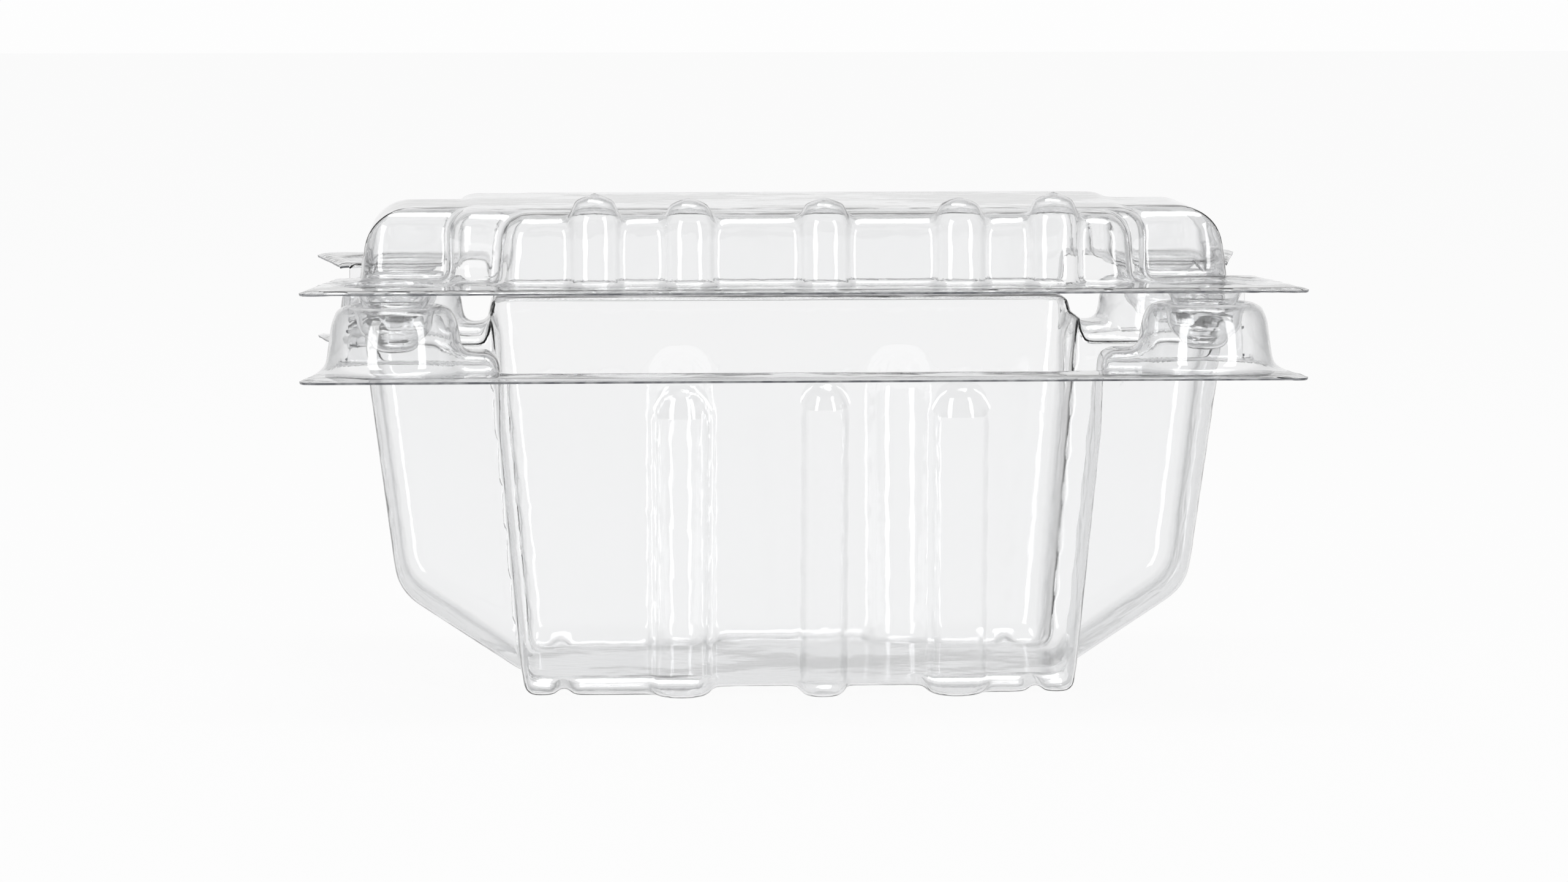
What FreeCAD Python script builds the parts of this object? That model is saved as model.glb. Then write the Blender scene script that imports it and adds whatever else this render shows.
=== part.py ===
import FreeCAD, Part
import os

import Sketcher

# A clear hinged fruit punnet, thermoformed from one film and shown closed.
# Millimetres. The feet stand on z = 0, X runs along the hinge, the front faces -Y.
# Each half is a film: the solid under the film's outer face less the same solid one
# wall smaller. Both halves are laid out with the hollow up, as they leave the mould,
# and the lid is then turned over about the parting plane.

doc = FreeCAD.newDocument("FruitPunnet")
sheet = doc.addObject("Spreadsheet::Sheet", "Sizes")

sizes = {
    # film and parting
    "wall": (0.45, "film thickness after forming"),
    "parting": (71, "height of the plane in which both halves meet"),
    "part_gap": (0.3, "air between the closed rims"),
    "overrun": (4, "how far the cutting solids run past the film"),
    # flange outline, the same on both halves
    "flange_half_x": (95, "half the length of the front and rear edges"),
    "flange_half_y": (56, "half the depth, to the hinge line"),
    "lobe_inset": (6, "how far a lobe narrows towards the wing"),
    "lobe_radius": (3, "rounding of the lobe tips"),
    "lobe_clear": (0.8, "how far the rear lobes stay behind the hinge line"),
    "rim_inset": (8, "from the ends of the flange to the side rims"),
    "rim_half_x": ("=flange_half_x - rim_inset", "half length of the side rims"),
    "hinge_inset": (35, "from the ends of the flange to the hinge rim"),
    "hinge_half_x": ("=flange_half_x - hinge_inset", "half length of the hinge rim"),
    "wing_half_y": (20, "half depth of the side wings"),
    "riser_draft": (8, "draft of the steps between flange and rim"),
    # tub
    "tub_flange": (63, "top face of the tub's low flange"),
    "tub_inset": (12, "from the ends of the flange to the tub's side walls"),
    "tub_half_x": ("=flange_half_x - tub_inset", "half length of the tub at its flange"),
    "tub_notch": (24.5, "length of the tub's corner notches"),
    "tub_panel_half_x": ("=tub_half_x - tub_notch", "half length of the tub's front panel"),
    "tub_panel_shift": (0, "offset of the tub's front panel"),
    "tub_set_back": (14, "from the flange's front edge to the tub's front panel"),
    "tub_panel_half_y": ("=flange_half_y - tub_set_back", "half depth to the tub's front panel"),
    "tub_side_draft": (7.2, "draft of the tub's side walls"),
    "tub_draft": (5, "draft of the tub's other walls"),
    "tub_floor": (1.6, "underside of the floor between the feet"),
    "skirt_top": (17.6, "height at which the side walls turn under"),
    "skirt_radius": (10, "rounding of that turn"),
    "skirt_run": (29.5, "from the tub's half length to the flat floor"),
    "skirt_foot_x": ("=tub_half_x - skirt_run", "half length of the flat floor"),
    "tub_edge_radius": (3.5, "lower edges of the tub's panels"),
    # lid
    "lid_flange": (79, "underside of the lid's high flange"),
    "lid_inset": (11, "from the ends of the flange to the dome's side walls"),
    "lid_half_x": ("=flange_half_x - lid_inset", "half length of the dome at its flange"),
    "lid_notch": (23.6, "length of the dome's corner notches"),
    "lid_panel_half_x": ("=lid_half_x - lid_notch", "half length of the dome's front panel"),
    "lid_panel_shift": (2.8, "offset of the dome's front panel"),
    "lid_set_back": (14, "from the flange's front edge to the dome's front panel"),
    "lid_panel_half_y": ("=flange_half_y - lid_set_back", "half depth to the dome's front panel"),
    "lid_side_draft": (5.3, "draft of the dome's side walls"),
    "lid_draft": (5.3, "draft of the dome's other walls"),
    "lid_top": (92.6, "top of the dome"),
    "lid_edge_radius": (5.2, "edges and upright corners of the dome"),
    # roundings of the outer faces
    "corner_radius": (5.5, "upright corners of the tub"),
    # ribs
    "rib_proud": (3.6, "how far the ribs stand out of the panels"),
    "rib_shift": (4.2, "offset of the rib pattern, so that nested packs lift apart"),
    "tub_rib_top": (61.4, "top of the tub's ribs"),
    "tub_rib_right": (25.8, "right front rib, from the middle of the pattern"),
    "tub_rib_left": (27, "left front rib, from the middle of the pattern"),
    "tub_rib_width": (11.3, "width of those two ribs"),
    "tub_rib_middle": (9.2, "width of the middle front rib"),
    "rear_rib_right": (20.1, "right rear rib, from the middle of the pattern"),
    "rear_rib_left": (24.7, "left rear rib, from the middle of the pattern"),
    "rear_rib_width": (13, "width of the rear ribs"),
    "lid_rib_top": (96, "top of the dome's middle ribs"),
    "lid_rib_rise": (0.8, "how much higher the outer ribs end"),
    "lid_rib_outer": (43.4, "outer ribs, from the middle of the pattern"),
    "lid_rib_inner": (25.6, "inner ribs, from the middle of the pattern"),
    "lid_rib_width": (10, "width of the dome's ribs"),
    # feet under the floor
    "foot_front": (34.8, "front faces of the feet, from the middle"),
    "foot_depth": (12, "depth of the feet, front to back"),
    "foot_rise": (3, "how far the sides of the feet run up past the floor"),
    "corner_foot_outer": (53, "outer end of the corner feet"),
    "corner_foot_inner": (46, "inner end of the corner feet"),
    "left_foot_outer": (44.6, "outer end of the left foot"),
    "left_foot_inner": (17.3, "inner end of the left foot"),
    "right_foot_outer": (44.6, "outer end of the right foot"),
    "right_foot_inner": (23.7, "inner end of the right foot"),
    # corner bosses of the tub and buttons of the lid
    "boss_end": (18, "from the ends of the flange to the boss centres"),
    "boss_x": ("=flange_half_x - boss_end", "boss centre, along X"),
    "boss_side": (20, "from the flange's front edge to the boss centres"),
    "boss_y": ("=flange_half_y - boss_side", "boss centre, along Y"),
    "boss_foot": (13.4, "boss radius at the flange"),
    "boss_shoulder": (12, "boss radius at its top"),
    "boss_top": (75.7, "top of the bosses"),
    "boss_round": (3.6, "rounding of the boss top"),
    "cup_mouth": (7.3, "radius of the cup's mouth"),
    "cup_waist": (6.4, "radius of the cup at its step"),
    "cup_step": (69.5, "height of the step in the cup"),
    "well_radius": (4.4, "radius of the well in the cup"),
    "cup_floor": (66.8, "bottom of the well"),
    "button_clear": (0.75, "air between the button and the cup's mouth"),
    "button_tip": (5.6, "radius of the button's end"),
    "button_end": (73.8, "lowest point of the button"),
    "ring_radius": (12, "radius of the ring pressed round the button"),
    "ring_depth": (1.1, "depth of that ring"),
    "ring_slope": (0.5, "slope of the ring's side"),
}
for row, (alias, (value, note)) in enumerate(sizes.items(), start=1):
    sheet.set(f"A{row}", note)
    sheet.set(f"B{row}", str(value))
    sheet.setAlias(f"B{row}", alias)
doc.recompute()


def named(text):
    """Writes the words of an expression that are driving dimensions as Sizes.word."""
    words = []
    word = ""
    for letter in text + " ":
        if letter.isalnum() or letter == "_":
            word += letter
            continue
        words.append(f"Sizes.{word}" if word in sizes else word)
        words.append(letter)
        word = ""
    return "".join(words).strip()


def size(text):
    """The value of an expression of driving dimensions."""
    value = sheet.evalExpression(named(text))
    return float(getattr(value, "Value", value))


def bind(feature, **expressions):
    for place, text in expressions.items():
        feature.setExpression(place.replace("__", "."), named(text))
    return feature


def at(feature, x, y, z):
    return bind(feature, Placement__Base__x=x, Placement__Base__y=y, Placement__Base__z=z)


def box(name, x_low, x_high, y_low, y_high, low, high):
    body = doc.addObject("Part::Box", name)
    bind(body, Length=f"({x_high}) - ({x_low})", Width=f"({y_high}) - ({y_low})")
    bind(body, Height=f"({high}) - ({low})")
    return at(body, x_low, y_low, low)


def combine(kind, name, base, tool):
    """A Part::Cut or Part::Common of two features."""
    rest = doc.addObject(kind, name)
    rest.Base = base
    rest.Tool = tool
    return rest


def fuse(name, shapes):
    union = doc.addObject("Part::MultiFuse", name)
    union.Shapes = shapes
    return union


def mirrored(name, source, normal):
    """The source and its mirror image in the plane through the origin."""
    image = doc.addObject("Part::Mirroring", name + "Image")
    image.Source = source
    image.Normal = normal
    return fuse(name, [source, image])


def outline(body, name, corners, height="0", role="XY_Plane"):
    """A closed sketch of straight edges, level at the height, with every corner bound."""
    sketch = body.newObject("Sketcher::SketchObject", name)
    plane = next(feature for feature in body.Origin.OriginFeatures if feature.Role == role)
    sketch.AttachmentSupport = (plane, [""])
    sketch.MapMode = "FlatFace"
    bind(sketch, AttachmentOffset__Base__z=height)
    points = [FreeCAD.Vector(size(x), size(y), 0) for x, y in corners]
    for start, end in zip(points, points[1:] + points[:1]):
        sketch.addGeometry(Part.LineSegment(start, end), False)
    for index in range(len(points)):
        after = (index + 1) % len(points)
        sketch.addConstraint(Sketcher.Constraint("Coincident", index, 2, after, 1))
    for index, corner in enumerate(corners):
        for kind, text in zip(("DistanceX", "DistanceY"), corner):
            constraint = Sketcher.Constraint(kind, -1, 1, index, 1, size(text))
            number = sketch.addConstraint(constraint)
            sketch.setExpression(f"Constraints[{number}]", named(text))
    return sketch


def pad(body, name, sketch, length):
    block = body.newObject("PartDesign::Pad", name)
    block.Profile = sketch
    bind(block, Length=length)
    doc.recompute()


def drafted(body, name, angle, level_plane, along):
    """Drafts the two walls of a block that face along an axis."""
    faces = []
    for number, face in enumerate(body.Tip.Shape.Faces, start=1):
        if abs(face.normalAt(0, 0).dot(along)) > 0.99:
            faces.append(f"Face{number}")
    base = body.Tip
    feature = body.newObject("PartDesign::Draft", name)
    feature.Base = (base, faces)
    feature.NeutralPlane = (level_plane, [""])
    feature.Reversed = True
    bind(feature, Angle=angle)
    doc.recompute()


def rounded(body, name, radius, wanted):
    """Rounds the edges of a body that the test picks."""
    base = body.Tip
    numbers = [number for number, edge in enumerate(base.Shape.Edges, start=1) if wanted(edge)]
    fillet = body.newObject("PartDesign::Fillet", name)
    fillet.Base = (base, [f"Edge{number}" for number in numbers])
    bind(fillet, Radius=radius)
    doc.recompute()


def is_upright(edge):
    return edge.BoundBox.ZLength > size("corner_radius")


def is_level(edge, height):
    return edge.BoundBox.ZLength < 0.01 and abs(edge.BoundBox.Center.z - size(height)) < 0.01


def drafted_block(name, half_x, half_y, shift, bottom, level, side_draft, draft):
    """A block with drafted walls, open to the top; its sizes are stated at the level."""
    body = doc.addObject("PartDesign::Body", name)
    corners = [(f"{sign_x} * ({half_x}) + {shift}", f"{sign_y} * ({half_y})")
               for sign_x, sign_y in ((-1, -1), (1, -1), (1, 1), (-1, 1))]
    plan = outline(body, name + "Plan", corners, bottom)
    pad(body, name + "Pad", plan, f"parting + overrun - ({bottom})")
    level_plane = body.newObject("PartDesign::Plane", name + "Level")
    level_plane.AttachmentSupport = plan.AttachmentSupport
    level_plane.MapMode = "FlatFace"
    bind(level_plane, AttachmentOffset__Base__z=level)
    doc.recompute()
    drafted(body, name + "SideDraft", side_draft, level_plane, FreeCAD.Vector(1, 0, 0))
    drafted(body, name + "Draft", draft, level_plane, FreeCAD.Vector(0, 1, 0))
    return body


def turn_under(body, name, inset):
    """Cuts the side walls away under the slopes that lead to the flat floor."""
    run = "(tub_half_x - (tub_flange - skirt_top) * tan(tub_side_draft) - skirt_foot_x)"
    rise = "(skirt_top - tub_floor)"
    foot_x = f"skirt_foot_x - {inset} * sqrt({run}^2 + {rise}^2) / {rise}"
    for side, sign in (("Right", 1), ("Left", -1)):
        triangle = [(f"{sign} * ({foot_x} - {run})", f"tub_floor - {rise}"),
                    (f"{sign} * ({foot_x} + 2 * {run})", f"tub_floor - {rise}"),
                    (f"{sign} * ({foot_x} + 2 * {run})", f"tub_floor + 2 * {rise}")]
        slope = body.newObject("PartDesign::Pocket", name + side + "Slope")
        slope.Profile = outline(body, name + side, triangle, role="XZ_Plane")
        slope.Type = "ThroughAll"
        slope.Midplane = True
        doc.recompute()
    rounded(body, name + "Turn", f"skirt_radius - {inset}",
            lambda edge: abs(edge.BoundBox.Center.z - size("skirt_top")) < 0.8
            and edge.BoundBox.ZLength < 0.01)


def quarter_round(radius, height, rounding, steps):
    """Points that round the outer corner of a turned profile, from its side to its top."""
    points = []
    for step in range(steps + 1):
        angle = 90 * step / steps
        points.append((f"{radius} - ({rounding}) * (1 - cos({angle}))",
                       f"{height} - ({rounding}) * (1 - sin({angle}))"))
    return points


def turned(name, profile, x, y, z="0"):
    """A solid turned from a profile of radii and heights about its own upright axis."""
    body = doc.addObject("PartDesign::Body", name)
    sketch = outline(body, name + "Profile", profile, role="XZ_Plane")
    turn = body.newObject("PartDesign::Revolution", name + "Turn")
    turn.Profile = sketch
    turn.ReferenceAxis = (sketch, ["V_Axis"])
    turn.Angle = 360
    return at(body, x, y, z)


def rib(name, x, width, half, level, low, high, side, inset):
    """A half-round rib with a round upper end that leans with the draft of its panel.

    side is -1 on the front panel and 1 on the rear one. The dome's ribs are laid out
    upside down, so there low is the round end.
    """
    radius = f"(({width})^2 / 4 + rib_proud^2) / (2 * rib_proud)"
    axis_y = f"({half}_panel_half_y + rib_proud - {radius})"
    length = f"(({high}) - ({low})) / cos({half}_draft)"
    end = quarter_round(f"{radius} - {inset}", f"{length} - {inset}", f"{radius} - {inset}", 2)
    profile = [("0", "0"), (f"{radius} - {inset}", "0")] + end
    base = high if half == "lid" else low
    axis_low = f"{axis_y} - ({level} - ({base})) * tan({half}_draft)"
    post = turned(name, profile, x, f"{side} * ({axis_low})", base)
    turned_over = 180 if half == "lid" else 0
    upright = FreeCAD.Rotation(FreeCAD.Vector(1, 0, 0), turned_over)
    lean = FreeCAD.Rotation(FreeCAD.Vector(1, 0, 0), -side * size(f"{half}_draft"))
    post.Placement.Rotation = lean * upright
    return post


def form(half, level, floor, inset, tag, ribs, feet):
    """The closed solid under one face of a half's film: the outer one, or one inset inside it.

    half is the prefix of the half's own sizes.
    """
    name = half.capitalize() + tag
    bottom = f"{floor} + {inset}"
    wing = drafted_block(name + "Wing", f"{half}_half_x - {inset}", f"wing_half_y - {inset}", "0",
                         bottom, level, f"{half}_side_draft", f"{half}_draft")
    if half == "tub":
        turn_under(wing, name + "Wing", inset)
        rounded(wing, name + "WingCorners", f"corner_radius - {inset}", is_upright)
    panel = drafted_block(name + "Panel", f"{half}_panel_half_x - {inset}",
                          f"{half}_panel_half_y - {inset}", f"{half}_panel_shift",
                          bottom, level, f"{half}_draft", f"{half}_draft")
    if half == "tub":
        rounded(panel, name + "PanelCorners", f"corner_radius - {inset}", is_upright)
        rounded(panel, name + "PanelEdges", f"tub_edge_radius - {inset}",
                lambda edge: is_level(edge, bottom))
    else:
        for block, part in ((wing, "Wing"), (panel, "Panel")):
            rounded(block, name + part + "Edges", f"lid_edge_radius - {inset}",
                    lambda edge: is_upright(edge) or is_level(edge, bottom))
    solid = fuse(name, [wing, panel] + ribs(inset, tag) + feet(inset, tag))
    above = box(name + "Above", "-flange_half_x", "flange_half_x", "-flange_half_y",
                "flange_half_y", inset, "parting + overrun")
    return combine("Part::Common", name + "Form", solid, above)


def tub_ribs(inset, tag):
    """Ribs down the tub's front and rear panels, to the surface it stands on."""
    ribs = []
    for name, x, width, side in (
            ("Left", "rib_shift - tub_rib_left", "tub_rib_width", -1),
            ("Middle", "rib_shift", "tub_rib_middle", -1),
            ("Right", "rib_shift + tub_rib_right", "tub_rib_width", -1),
            ("RearLeft", "rib_shift - rear_rib_left", "rear_rib_width", 1),
            ("RearRight", "rib_shift + rear_rib_right", "rear_rib_width", 1)):
        ribs.append(rib(f"TubRib{name}{tag}", x, width, "tub", "tub_flange",
                        "-overrun", "tub_rib_top", side, inset))
    return ribs


def lid_ribs(inset, tag):
    """Ribs up the dome's front, ending in round tops above the dome."""
    ribs = []
    for name, x, rise in (
            ("OuterLeft", "rib_shift - lid_rib_outer", "lid_rib_rise"),
            ("InnerLeft", "rib_shift - lid_rib_inner", "0"),
            ("Middle", "rib_shift", "0"),
            ("InnerRight", "rib_shift + lid_rib_inner", "0"),
            ("OuterRight", "rib_shift + lid_rib_outer", "lid_rib_rise")):
        ribs.append(rib(f"LidRib{name}{tag}", x, "lid_rib_width", "lid", "2 * parting - lid_flange",
                        f"2 * parting - lid_rib_top - {rise}", "2 * parting - lid_flange + overrun",
                        -1, inset))
    return ribs


def tub_feet(inset, tag):
    shapes = []
    spans = (("CornerLeft", "-corner_foot_outer", "-corner_foot_inner"),
             ("Left", "-left_foot_outer", "-left_foot_inner"),
             ("Right", "right_foot_inner", "right_foot_outer"),
             ("CornerRight", "corner_foot_inner", "corner_foot_outer"))
    for name, x_low, x_high in spans:
        for row, sign in (("Front", -1), ("Rear", 1)):
            edges = ("foot_front", "foot_front - foot_depth")[::-sign]
            shapes.append(box(f"Foot{name}{row}{tag}", f"{x_low} + {inset}", f"{x_high} - {inset}",
                              f"{sign} * ({edges[0]}) + {inset}", f"{sign} * ({edges[1]}) - {inset}",
                              inset, f"tub_floor + foot_rise - {inset}"))
    return shapes


def wedge(name, half_x, y_low, y_high, low, high, lean_x, lean_y):
    """A raised block that leans in by the given amounts from its foot to its top."""
    block = doc.addObject("Part::Wedge", name)
    bind(block, Xmin=f"-({half_x})", Xmax=half_x,
         X2min=f"-({half_x}) + {lean_x}", X2max=f"{half_x} - {lean_x}",
         Ymin="0", Ymax=f"{high} - ({low})",
         Zmin=f"-({y_high})", Zmax=f"-({y_low})",
         Z2min=f"-({y_high}) + {lean_y}", Z2max=f"-({y_low}) - {lean_y}")
    block.Placement.Rotation = FreeCAD.Rotation(FreeCAD.Vector(1, 0, 0), 90)
    return at(block, "0", "0", low)


def flange(name, level, inset, fitting):
    """The solid under the flange and the rims, or the one a wall below it.

    The rims of the wings and of the hinge are steps up from the flange to the parting plane.
    """
    rim = f"parting - part_gap / 2 - {inset}"
    foot = f"{level} - overrun"
    lean = f"({rim} - ({foot})) * tan(riser_draft)"
    spread = "overrun * tan(riser_draft)"
    if inset == "0":
        beyond = "0"
        plate = doc.addObject("PartDesign::Body", name + "Plate")
        rear = "flange_half_y - lobe_clear"
        right = [("flange_half_x", "-flange_half_y"),
                 ("flange_half_x - lobe_inset", "-wing_half_y - " + spread),
                 ("rim_half_x", "-wing_half_y - " + spread),
                 ("rim_half_x", "wing_half_y + " + spread),
                 ("flange_half_x - lobe_inset", "wing_half_y + " + spread),
                 ("flange_half_x", rear)]
        corners = right + [(f"-({x})", y) for x, y in right[::-1]]
        pad(plate, name + "PlatePad", outline(plate, name + "Plan", corners, "-overrun"),
            f"{level} + overrun")
        rounded(plate, name + "Tips", "lobe_radius",
                lambda edge: is_upright(edge)
                and abs(edge.BoundBox.Center.x) > size("flange_half_x - 0.01"))
    else:
        beyond = "overrun"
        plate = box(name + "Plate", "-flange_half_x - overrun", "flange_half_x + overrun",
                    "-flange_half_y - overrun", "flange_half_y + overrun",
                    "-2 * overrun", f"{level} - {inset}")
    wings = wedge(name + "Wings", f"rim_half_x + {beyond}",
                  f"-wing_half_y - {spread} + {inset}", f"wing_half_y + {spread} - {inset}",
                  foot, rim, "0", lean)
    hinge = wedge(name + "Hinge", f"hinge_half_x + {spread} - {inset}", "0",
                  f"flange_half_y + {beyond}", foot, rim, lean, "0")
    return fuse(name, [plate, wings, hinge] + fitting)


def at_corners(name, corner):
    """A fitting and its mirror images at the other three corners."""
    return mirrored(name + "All", mirrored(name + "Pair", corner, (1, 0, 0)), (0, 1, 0))


def cups(name, level, inset):
    """The tub's corner bosses, each with the cup that a button of the lid enters."""
    slope = f"(boss_foot - boss_shoulder) / (boss_top - ({level}))"
    post = turned(name + "Post",
                  [("0", f"{level} - overrun"),
                   (f"boss_foot + overrun * {slope} - {inset}", f"{level} - overrun")]
                  + quarter_round(f"boss_shoulder - {inset}", f"boss_top - {inset}",
                                  f"boss_round - {inset}", 2)
                  + [("0", f"boss_top - {inset}")], "boss_x", "boss_y")
    cup = turned(name + "Cup",
                 [("0", f"cup_floor - {inset}"), (f"well_radius + {inset}", f"cup_floor - {inset}"),
                  (f"well_radius + {inset}", f"cup_step - {inset}"),
                  (f"cup_waist + {inset}", f"cup_step - {inset}"),
                  (f"cup_mouth + {inset}", f"boss_top - {inset}"),
                  (f"cup_mouth + {inset}", "boss_top + overrun"), ("0", "boss_top + overrun")],
                 "boss_x", "boss_y")
    return at_corners(name, combine("Part::Cut", name, post, cup))


def buttons(name, level, inset):
    """The lid's buttons, upside down, each on a ring pressed into the flange."""
    end = "(2 * parting - button_end)"
    mouth = "(2 * parting - boss_top)"
    land = f"({level} + ring_depth)"
    slope = f"(cup_mouth - button_clear - button_tip) / ({end} - {mouth})"
    corner = turned(name,
                    [("0", f"{level} - overrun"),
                     (f"ring_radius + overrun * ring_slope - {inset}", f"{level} - overrun"),
                     (f"ring_radius - ring_depth * ring_slope - {inset}", f"{land} - {inset}"),
                     (f"button_tip + ({end} - {land}) * {slope} - {inset}", f"{land} - {inset}"),
                     (f"button_tip - {inset}", f"{end} - {inset}"), ("0", f"{end} - {inset}")],
                    "boss_x", "boss_y")
    return at_corners(name, corner)


def film(half, level, floor, ribs, feet, fitting):
    """One half of the pack as a film: outer solid less inner solid, with its hollow open."""
    name = half.capitalize()
    outer = form(half, level, floor, "0", "Outer", ribs, feet)
    inner = form(half, level, floor, "wall", "Inner", ribs, feet)
    face = flange(name + "Face", level, "0", [fitting(name + "Fitting", level, "0")])
    back = flange(name + "Back", level, "wall", [fitting(name + "FittingBack", level, "wall")])
    skin = combine("Part::Cut", name + "Skin", face, back)
    walls = combine("Part::Common", name + "Walls", outer, face)
    return combine("Part::Cut", name + "Film", fuse(name + "Solid", [skin, walls]), inner)


def no_feet(inset, tag):
    return []


tub = film("tub", "tub_flange", "tub_floor", tub_ribs, tub_feet, cups)
tub.Label = "base_tub"
lid_film = film("lid", "(2 * parting - lid_flange)", "(2 * parting - lid_top)",
                lid_ribs, no_feet, buttons)
lid = doc.addObject("Part::Mirroring", "Lid")
lid.Source = lid_film
lid.Normal = (0, 0, 1)
bind(lid, Base__z="parting")
lid.Label = "lid"
doc.recompute()

for feature in doc.Objects:
    if "Invalid" in feature.State or "Error" in feature.State:
        raise RuntimeError(f"{feature.Name} failed: {feature.State}")

os.makedirs("parts", exist_ok=True)
for feature in (tub, lid):
    shape = feature.Shape
    if shape.isNull() or not shape.isValid() or len(shape.Solids) != 1:
        raise RuntimeError(f"{feature.Label} is not one valid solid: {len(shape.Solids)}")
    shape.exportStep(f"parts/{feature.Label}.step")
    print(f"{feature.Label}: volume {shape.Volume / 1000:.2f} cm3")
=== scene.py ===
import math
import bmesh
import bpy
from mathutils import Matrix, Vector
from mathutils.bvhtree import BVHTree


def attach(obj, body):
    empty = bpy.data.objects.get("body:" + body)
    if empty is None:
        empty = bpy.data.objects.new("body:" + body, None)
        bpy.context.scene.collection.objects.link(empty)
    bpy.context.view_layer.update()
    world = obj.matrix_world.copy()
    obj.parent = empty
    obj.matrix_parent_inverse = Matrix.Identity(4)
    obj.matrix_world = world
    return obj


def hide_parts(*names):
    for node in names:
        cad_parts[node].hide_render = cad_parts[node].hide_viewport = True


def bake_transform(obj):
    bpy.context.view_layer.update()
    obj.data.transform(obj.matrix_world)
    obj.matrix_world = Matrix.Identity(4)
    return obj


# A closed clear fruit punnet: two formed films, the tub and the lid, and the fold between them.
# Each film is made again from its plain solid, with the soft folds that forming leaves.

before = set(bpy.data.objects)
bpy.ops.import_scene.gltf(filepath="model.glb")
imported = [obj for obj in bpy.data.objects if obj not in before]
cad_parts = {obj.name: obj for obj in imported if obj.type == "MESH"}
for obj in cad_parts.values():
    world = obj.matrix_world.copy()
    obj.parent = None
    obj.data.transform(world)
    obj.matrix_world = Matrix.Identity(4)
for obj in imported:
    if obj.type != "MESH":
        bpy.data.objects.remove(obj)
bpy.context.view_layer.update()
scene = bpy.context.scene
millimetre = 0.001

# how each film is taken from its solid, trimmed and evened out
formValues = {
    "merge": 1e-6,           # doubles in a copy of the solid
    "sightGap": 2e-5,        # sight lines start this far off a face
    "outlineMerge": 2e-5,
    "outlineLevel": -0.02,   # the flat outline lies here, below the pack
    "outlineHeight": 0.16,   # how far its upright wall goes up from there
    "above": 1,              # height from which the outline is looked for
    "bottomGap": 0.0015,     # what lies this near the closed base goes
    "trimMerge": 5e-5,
    "topEdge": 1e-5,         # how near a step's top its rounded edges end
    "stepSegments": 5,
    "smoothing": 0.5,
    "evening": 3,            # rounds that even the mesh out
    "sharp": 55,             # degrees
}


def meshObject(name, bm):
    mesh = bpy.data.meshes.new(name)
    bm.to_mesh(mesh)
    bm.free()
    made = bpy.data.objects.new(name, mesh)
    scene.collection.objects.link(made)
    return made


def applied(made):
    # takes the modifiers into the mesh
    graph = bpy.context.evaluated_depsgraph_get()
    graph.update()
    baked = bpy.data.meshes.new_from_object(made.evaluated_get(graph))
    made.modifiers.clear()
    made.data = baked
    return made


def joinedEdges(edges):
    # sorts loose edges into chains that touch
    left = set(edges)
    chains = []
    while left:
        stack = [left.pop()]
        chain = []
        while stack:
            edge = stack.pop()
            chain.append(edge)
            for vert in edge.verts:
                for other in vert.link_edges:
                    if other in left:
                        left.discard(other)
                        stack.append(other)
        chains.append(chain)
    return sorted(chains, key=lambda chain: sum(edge.calc_length() for edge in chain))


def upperSkin(nodeName):
    # the upper side of a merged copy of the solid
    bm = bmesh.new()
    bm.from_mesh(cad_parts[nodeName].data)
    bmesh.ops.remove_doubles(bm, verts=bm.verts, dist=formValues["merge"])
    # the upper side sees the sky, the cut rims see both ways, and the hollows of the ribs
    # see neither way and are found through their neighbours
    tree = BVHTree.FromBMesh(bm)
    upper = set()
    hidden = set()
    for face in bm.faces:
        start = face.calc_center_median() + face.normal * formValues["sightGap"]
        above = tree.ray_cast(start, Vector((0, 0, 1)))[0]
        below = tree.ray_cast(start, Vector((0, 0, -1)))[0]
        if above is None and below is not None:
            upper.add(face)
        elif above is not None and below is not None:
            hidden.add(face)
    stack = list(upper)
    while stack:
        for edge in stack.pop().edges:
            for other in edge.link_faces:
                if other in hidden:
                    hidden.discard(other)
                    upper.add(other)
                    stack.append(other)
    spare = [face for face in bm.faces if face not in upper]
    bmesh.ops.delete(bm, geom=spare, context="FACES")
    loose = [vert for vert in bm.verts if not vert.link_faces]
    bmesh.ops.delete(bm, geom=loose, context="VERTS")
    chains = joinedEdges([edge for edge in bm.edges if len(edge.link_faces) == 1])
    for chain in chains[:-1]:
        bmesh.ops.holes_fill(bm, edges=chain, sides=0)
    print(nodeName, "skin of", len(bm.faces), "faces, open chains", len(chains))
    return bm, chains[-1]


def outlineOf(bm, rim, hingeEdge):
    # the film's outline in plan: a flat sheet inside it, and an upright wall along it
    bm.edges.index_update()
    wanted = {edge.index for edge in rim}
    flat = bm.copy()
    flat.edges.ensure_lookup_table()
    others = [edge for edge in flat.edges if edge.index not in wanted]
    bmesh.ops.delete(flat, geom=others, context="EDGES_FACES")
    for vert in flat.verts:
        vert.co.z = formValues["outlineLevel"]
        vert.co.y = min(vert.co.y, hingeEdge)
    bmesh.ops.remove_doubles(flat, verts=flat.verts, dist=formValues["outlineMerge"])
    wall = flat.copy()
    grown = bmesh.ops.extrude_edge_only(wall, edges=wall.edges[:])
    upper = [part for part in grown["geom"] if isinstance(part, bmesh.types.BMVert)]
    bmesh.ops.translate(wall, verts=upper, vec=(0, 0, formValues["outlineHeight"]))
    bmesh.ops.contextual_create(flat, geom=flat.edges[:])
    bmesh.ops.triangulate(flat, faces=flat.faces[:])
    trees = BVHTree.FromBMesh(flat), BVHTree.FromBMesh(wall)
    flat.free()
    wall.free()
    return trees


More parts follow.
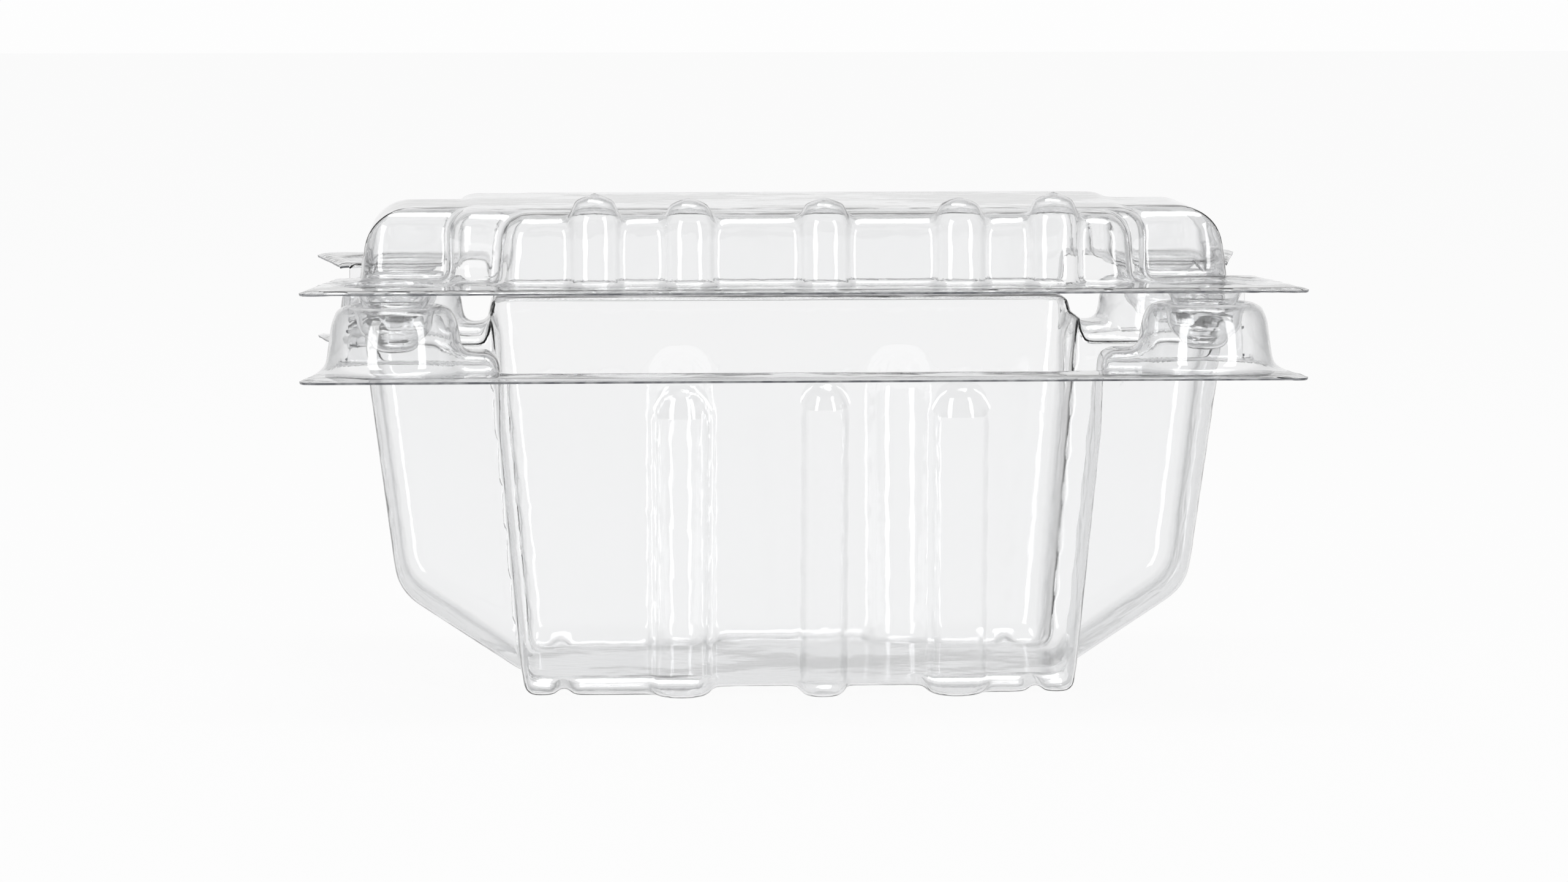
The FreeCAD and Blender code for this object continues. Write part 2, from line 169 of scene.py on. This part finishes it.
def addStep(bm, step):
    # a block with rounded edges that the forming melts into the film
    low, high = Vector(step["low"]), Vector(step["high"])
    size = high - low
    place = Matrix.Translation((low + high) / 2) @ Matrix.Diagonal((size.x, size.y, size.z, 1))
    made = bmesh.ops.create_cube(bm, size=1, matrix=place)
    edges = {edge for vert in made["verts"] for edge in vert.link_edges}
    level = high.z - formValues["topEdge"]
    edges = [edge for edge in edges if max(vert.co.z for vert in edge.verts) > level]
    bmesh.ops.bevel(bm, geom=edges, offset=step["rounding"],
                    segments=formValues["stepSegments"], profile=0.5,
                    affect="EDGES", material=-1)


def roundedEnds(bm, values):
    # pulls the dome's upper side edges in to a larger rounding
    for vert in bm.verts:
        out = Vector((abs(vert.co.x) - values["x"], vert.co.z - values["z"]))
        if out.x > 0 and out.y > 0 and out.length > values["radius"]:
            out *= values["radius"] / out.length
            vert.co.x = math.copysign(values["x"] + out.x, vert.co.x)
            vert.co.z = values["z"] + out.y


def formedFilm(name, nodeName, values):
    bm, rim = upperSkin(nodeName)
    inside, outline = outlineOf(bm, rim, values["hingeEdge"])
    # run the film out past its outline, then down, and close it
    for scale, level in ((values["runOut"], None), ((1, 1, 1), values["base"])):
        grown = bmesh.ops.extrude_edge_only(bm, edges=rim)
        corners = [part for part in grown["geom"] if isinstance(part, bmesh.types.BMVert)]
        rim = [part for part in grown["geom"] if isinstance(part, bmesh.types.BMEdge)
               and len(part.link_faces) == 1]
        bmesh.ops.scale(bm, verts=corners, vec=scale)
        for vert in corners:
            vert.co.z = vert.co.z if level is None else level
    bmesh.ops.contextual_create(bm, geom=rim)
    bmesh.ops.recalc_face_normals(bm, faces=bm.faces)
    for step in values["steps"]:
        addStep(bm, step)
    film = meshObject(name, bm)
    remesh = film.modifiers.new("Remesh", "REMESH")
    remesh.mode = "VOXEL"
    remesh.voxel_size = values["voxel"]
    smooth = film.modifiers.new("Folds", "SMOOTH")
    smooth.factor = formValues["smoothing"]
    smooth.iterations = values["softening"]
    applied(film)
    print(name, "formed with", len(film.data.polygons), "faces")
    # what runs past the outline or closes the bottom goes, and the cut edge follows the outline
    bm = bmesh.new()
    bm.from_mesh(film.data)
    down = Vector((0, 0, -1))
    spare = []
    for face in bm.faces:
        centre = face.calc_center_median()
        if centre.z < values["base"] + formValues["bottomGap"]:
            spare.append(face)
        elif inside.ray_cast(Vector((centre.x, centre.y, formValues["above"])), down)[0] is None:
            spare.append(face)
    bmesh.ops.delete(bm, geom=spare, context="FACES")
    if "ends" in values:
        roundedEnds(bm, values["ends"])
    for vert in bm.verts:
        if vert.is_boundary:
            near = outline.find_nearest(vert.co)[0]
            vert.co.x, vert.co.y = near.x, near.y
    bmesh.ops.remove_doubles(bm, verts=bm.verts, dist=formValues["trimMerge"])
    bmesh.ops.triangulate(bm, faces=bm.faces)
    count = len(bm.faces)
    bm.to_mesh(film.data)
    bm.free()
    thin = film.modifiers.new("Thin", "DECIMATE")
    thin.ratio = min(1.0, values["faces"] / count)
    applied(film)
    # evens the mesh out, but for its cut edge, which droops a little
    edge = set()
    bm = bmesh.new()
    bm.from_mesh(film.data)
    for vert in bm.verts:
        if vert.is_boundary:
            vert.co.z -= values["droop"]
            edge.add(vert.index)
    bm.to_mesh(film.data)
    bm.free()
    inner = film.vertex_groups.new(name="inner")
    rest = [vert.index for vert in film.data.vertices if vert.index not in edge]
    inner.add(rest, 1, "REPLACE")
    even = film.modifiers.new("Even", "SMOOTH")
    even.factor = formValues["smoothing"]
    even.iterations = formValues["evening"]
    even.vertex_group = "inner"
    # the rim faces take the second material, frosted and painted dark grey as painted shade
    film.data.materials.append(filmMaterial)
    film.data.materials.append(edgeMaterial)
    solid = film.modifiers.new("Wall", "SOLIDIFY")
    solid.thickness = values["wall"]
    solid.offset = -1
    solid.material_offset_rim = 1
    applied(film)
    film.data.shade_smooth()
    film.data.set_sharp_from_angle(angle=math.radians(formValues["sharp"]))
    print(name, "finished with", len(film.data.polygons), "faces from", count)
    return film


def startMaterial(name):
    material = bpy.data.materials.new(name)
    material.use_nodes = True
    nodes = material.node_tree.nodes
    return material, nodes, material.node_tree.links, nodes["Principled BSDF"]


def noise(nodes, links, vector, scale, detail):
    made = nodes.new("ShaderNodeTexNoise")
    made.inputs["Scale"].default_value = scale
    made.inputs["Detail"].default_value = detail
    links.new(vector, made.inputs["Vector"])
    return made.outputs["Fac"]


filmLook = {
    "colour": (0.972, 0.974, 0.977, 1),
    "paintedShadeColour": (0.34, 0.345, 0.355, 1),   # painted shade: the film is painted darker where it is seen at a grazing angle
    "slantFrom": 0.30,
    "slantBlend": 0.5,
    "ior": 1.57,
    "roughness": (0.02, 0.08),
    "scuffs": 75,         # duller patches, per metre
    "scuffDetail": 6,
    "scuffRange": (0.45, 0.75),
    "waves": 26,          # long ripples of the film, per metre
    "waveDetail": 1.5,
    "waveStretch": 0.35,  # they run down the walls, so they are stretched along Z
    "waveHeight": 0.0006,
    "fineWaves": 210,     # orange peel
    "fineDetail": 1,
    "fineHeight": 0.00004,
}


def clearFilm(values):
    material, nodes, links, shader = startMaterial("clearFilm")
    shader.inputs["IOR"].default_value = values["ior"]
    shader.inputs["Transmission Weight"].default_value = 1
    # painted shade: the base colour darkens towards grazing angles of view, by the Layer
    # Weight's facing
    slant = nodes.new("ShaderNodeLayerWeight")
    slant.inputs["Blend"].default_value = values["slantBlend"]
    grazingShadeRamp = nodes.new("ShaderNodeValToRGB")
    grazingShadeRamp.color_ramp.elements[0].position = values["slantFrom"]
    grazingShadeRamp.color_ramp.elements[0].color = values["colour"]
    grazingShadeRamp.color_ramp.elements[1].position = 1
    grazingShadeRamp.color_ramp.elements[1].color = values["paintedShadeColour"]
    links.new(slant.outputs["Facing"], grazingShadeRamp.inputs["Fac"])
    links.new(grazingShadeRamp.outputs["Color"], shader.inputs["Base Color"])
    place = nodes.new("ShaderNodeTexCoord").outputs["Object"]
    scuffs = noise(nodes, links, place, values["scuffs"], values["scuffDetail"])
    spread = nodes.new("ShaderNodeMapRange")
    spread.inputs["From Min"].default_value = values["scuffRange"][0]
    spread.inputs["From Max"].default_value = values["scuffRange"][1]
    spread.inputs["To Min"].default_value = values["roughness"][0]
    spread.inputs["To Max"].default_value = values["roughness"][1]
    links.new(scuffs, spread.inputs["Value"])
    links.new(spread.outputs["Result"], shader.inputs["Roughness"])
    stretch = nodes.new("ShaderNodeMapping")
    stretch.inputs["Scale"].default_value = (1, 1, values["waveStretch"])
    links.new(place, stretch.inputs["Vector"])
    ripples = noise(nodes, links, stretch.outputs["Vector"],
                    values["waves"], values["waveDetail"])
    peel = noise(nodes, links, place, values["fineWaves"], values["fineDetail"])
    # the fine bump lies on the long one
    normal = None
    for height, distance in ((ripples, values["waveHeight"]), (peel, values["fineHeight"])):
        bump = nodes.new("ShaderNodeBump")
        bump.inputs["Strength"].default_value = 1
        bump.inputs["Distance"].default_value = distance
        links.new(height, bump.inputs["Height"])
        if normal is not None:
            links.new(normal, bump.inputs["Normal"])
        normal = bump.outputs["Normal"]
    links.new(normal, shader.inputs["Normal"])
    return material


filmMaterial = clearFilm(filmLook)

edgeFrostAndShadeLook = {
    # painted shade: these greys stand in for the dark line along the film's cut edge
    "dark": (0.13, 0.135, 0.15, 1),
    "pale": (0.42, 0.425, 0.44, 1),
    "bite": 420,          # grain of the cut, per metre
    "biteDetail": 2,
    "darkUpTo": 0.35,
    "paleFrom": 0.7,
    "clearness": 0.2,
    "roughness": 0.35,
}


def cutEdgeFrostAndShade(values):
    # the trimmed edge of the film is slightly frosted, with a grain along the cut, and painted
    # dark grey as painted shade for the dark line along the film's edge
    material, nodes, links, shader = startMaterial("cutEdgeFrostAndShade")
    shader.inputs["Roughness"].default_value = values["roughness"]
    shader.inputs["Transmission Weight"].default_value = values["clearness"]
    place = nodes.new("ShaderNodeTexCoord").outputs["Object"]
    shades = nodes.new("ShaderNodeValToRGB")
    shades.color_ramp.elements[0].position = values["darkUpTo"]
    shades.color_ramp.elements[0].color = values["dark"]
    shades.color_ramp.elements[1].position = values["paleFrom"]
    shades.color_ramp.elements[1].color = values["pale"]
    links.new(noise(nodes, links, place, values["bite"], values["biteDetail"]),
              shades.inputs["Fac"])
    links.new(shades.outputs["Color"], shader.inputs["Base Color"])
    return material


edgeMaterial = cutEdgeFrostAndShade(edgeFrostAndShadeLook)

tubValues = {
    "wall": 0.45 * millimetre,
    "voxel": 0.8 * millimetre,
    "softening": 9,
    "base": -0.012,
    "runOut": (1.035, 1.058, 1),
    "hingeEdge": 0.05535,
    "faces": 97000,
    "droop": 0.0005,
    # the webs that join the bosses to the tub's corners
    "steps": [{"low": (x - 0.0065, y - 0.0075, 0.052), "high": (x + 0.0065, y + 0.0075, 0.0665),
               "rounding": 0.003} for x in (-0.0635, 0.0635) for y in (-0.0335, 0.0335)],
}
tubFilm = formedFilm("tubFilm", "base_tub", tubValues)
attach(tubFilm, "tub")
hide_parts("base_tub")

lidValues = {
    "wall": 0.45 * millimetre,
    "voxel": 0.7 * millimetre,
    "softening": 5,
    "base": 0.060,
    "runOut": (1.035, 1.058, 1),
    "hingeEdge": 0.05535,
    "faces": 88000,
    "droop": 0.0005,
    # between the wings and the front panel the dome has one more step, a little higher
    "steps": [{"low": (-0.0668, -0.0325, 0.068), "high": (0.0668, 0.0325, 0.0930),
               "rounding": 0.005}],
    "ends": {"x": 0.0742, "z": 0.0836, "radius": 0.009},
}
lidFilm = formedFilm("lidFilm", "lid", lidValues)
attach(lidFilm, "lid")
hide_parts("lid")

foldValues = {
    "halfLength": 0.0602,
    "centre": (0.0553, 0.071),   # Y and Z
    "outer": 0.0006,
    "inner": 0.00015,
    "steps": 8,
    "sharp": 40,                 # degrees
}


def foldStrip(values):
    # a half-round strip of film that joins the two rims
    y, z = values["centre"]
    bm = bmesh.new()
    ends = [bm.verts.new((values["halfLength"], y, z - radius))
            for radius in (values["outer"], values["inner"])]
    edge = bm.edges.new(ends)
    bmesh.ops.spin(bm, geom=ends + [edge], cent=(0, y, z), axis=(1, 0, 0),
                   angle=math.pi, steps=values["steps"])
    grown = bmesh.ops.extrude_face_region(bm, geom=bm.faces[:])
    moved = [part for part in grown["geom"] if isinstance(part, bmesh.types.BMVert)]
    bmesh.ops.translate(bm, verts=moved, vec=(-2 * values["halfLength"], 0, 0))
    bmesh.ops.recalc_face_normals(bm, faces=bm.faces)
    strip = meshObject("hingeFold", bm)
    strip.data.shade_smooth()
    strip.data.set_sharp_from_angle(angle=math.radians(values["sharp"]))
    return strip


fold = foldStrip(foldValues)
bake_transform(fold)

fold.data.materials.append(filmMaterial)
print("films done")

roomValues = {
    "floorColour": (0.9, 0.9, 0.9, 1),
    "floorRoughness": 0.9,
    "floorHalf": 4,       # half its width
    "floorGlow": 0.96,    # how much of the floor's white is its own
    "behind": 0.985,      # the white backdrop
    "behindFrom": 0.955,
    "sides": 0.22,
    "sidesRange": (0.2, 0.7),
    "ahead": 0.45,        # the room behind the camera
}


def seenRays(nodes, links):
    # 1 for rays from the camera, and for what gloss and clear film show
    rays = nodes.new("ShaderNodeLightPath")
    total = rays.outputs["Is Camera Ray"]
    for name in ("Is Glossy Ray", "Is Transmission Ray"):
        either = nodes.new("ShaderNodeMath")
        either.operation = "MAXIMUM"
        links.new(total, either.inputs[0])
        links.new(rays.outputs[name], either.inputs[1])
        total = either.outputs[0]
    return total


def paleFloor(values):
    bm = bmesh.new()
    bmesh.ops.create_grid(bm, x_segments=2, y_segments=2, size=values["floorHalf"])
    floor = meshObject("floor", bm)
    material, nodes, links, shader = startMaterial("paleFloor")
    shader.inputs["Base Color"].default_value = values["floorColour"]
    shader.inputs["Roughness"].default_value = values["floorRoughness"]
    glow = nodes.new("ShaderNodeEmission")
    glow.inputs["Strength"].default_value = values["behind"]
    share = nodes.new("ShaderNodeMath")
    share.operation = "MULTIPLY"
    share.inputs[1].default_value = values["floorGlow"]
    links.new(seenRays(nodes, links), share.inputs[0])
    mix = nodes.new("ShaderNodeMixShader")
    links.new(share.outputs[0], mix.inputs["Fac"])
    links.new(shader.outputs["BSDF"], mix.inputs[1])
    links.new(glow.outputs["Emission"], mix.inputs[2])
    links.new(mix.outputs["Shader"], nodes["Material Output"].inputs["Surface"])
    floor.data.materials.append(material)


paleFloor(roomValues)


def studioWorld(values):
    world = bpy.data.worlds.new("studio")
    scene.world = world
    world.use_nodes = True
    nodes = world.node_tree.nodes
    links = world.node_tree.links
    background = nodes["Background"]
    place = nodes.new("ShaderNodeTexCoord")
    parts = nodes.new("ShaderNodeSeparateXYZ")
    links.new(place.outputs["Generated"], parts.inputs["Vector"])
    depth = nodes.new("ShaderNodeMapRange")
    depth.inputs["From Min"].default_value = -1
    links.new(parts.outputs["Y"], depth.inputs["Value"])
    shades = nodes.new("ShaderNodeValToRGB")
    ramp = shades.color_ramp
    ramp.elements[0].position, ramp.elements[1].position = 0, values["behindFrom"]
    ramp.elements[0].color = (values["ahead"],) * 3 + (1,)
    ramp.elements[1].color = (values["behind"],) * 3 + (1,)
    for position in values["sidesRange"]:
        ramp.elements.new(position).color = (values["sides"],) * 3 + (1,)
    links.new(depth.outputs["Result"], shades.inputs["Fac"])
    links.new(shades.outputs["Color"], background.inputs["Color"])


studioWorld(roomValues)


lightValues = {
    "leftLight": {"place": (-0.62, -0.72, 0.38), "aim": (0, 0, 0.06),
                  "size": (0.30, 0.75), "power": 3.4},
    "rightLight": {"place": (0.66, -0.68, 0.36), "aim": (0, 0, 0.06),
                   "size": (0.24, 0.75), "power": 2.6},
    "topLight": {"place": (0.05, 0.1, 1.1), "aim": (0, 0, 0.05),
                 "size": (0.9, 0.4), "power": 6},
}


def softBox(name, values):
    lamp = bpy.data.lights.new(name, "AREA")
    lamp.shape = "RECTANGLE"
    lamp.size, lamp.size_y = values["size"]
    lamp.energy = values["power"]
    holder = bpy.data.objects.new(name, lamp)
    scene.collection.objects.link(holder)
    place = Vector(values["place"])
    holder.location = place
    holder.rotation_euler = (Vector(values["aim"]) - place).to_track_quat("-Z", "Y").to_euler()


for lightName, light in lightValues.items():
    softBox(lightName, light)

cameraValues = {
    "heading": 3.0,      # degrees that it looks past the pack's own depth
    "tilt": 5.87,
    "roll": 0.0,
    "distance": 1.0,     # to the middle of the front edge
    "height": 0.154,
    "sideways": 0.0043,
    "lens": 123.7,
    "sensor": 36,
    "nearest": 0.05,
    "frontEdge": -0.056,  # Y of the flange's front edge
}


def photoCamera(values):
    lens = bpy.data.cameras.new("photoCamera")
    lens.sensor_width = values["sensor"]
    lens.lens = values["lens"]
    lens.clip_start = values["nearest"]
    camera = bpy.data.objects.new("photoCamera", lens)
    scene.collection.objects.link(camera)
    heading = math.radians(values["heading"])
    ahead = Vector((math.sin(heading), math.cos(heading), 0))
    right = Vector((math.cos(heading), -math.sin(heading), 0))
    place = Vector((0, values["frontEdge"], 0))
    place = place - ahead * values["distance"] - right * values["sideways"]
    camera.location = (place.x, place.y, values["height"])
    camera.rotation_mode = "XYZ"
    camera.rotation_euler = (math.radians(90 - values["tilt"]), math.radians(values["roll"]),
                             -heading)
    scene.camera = camera


photoCamera(cameraValues)
scene.view_settings.view_transform = "Standard"
print("room and camera done")
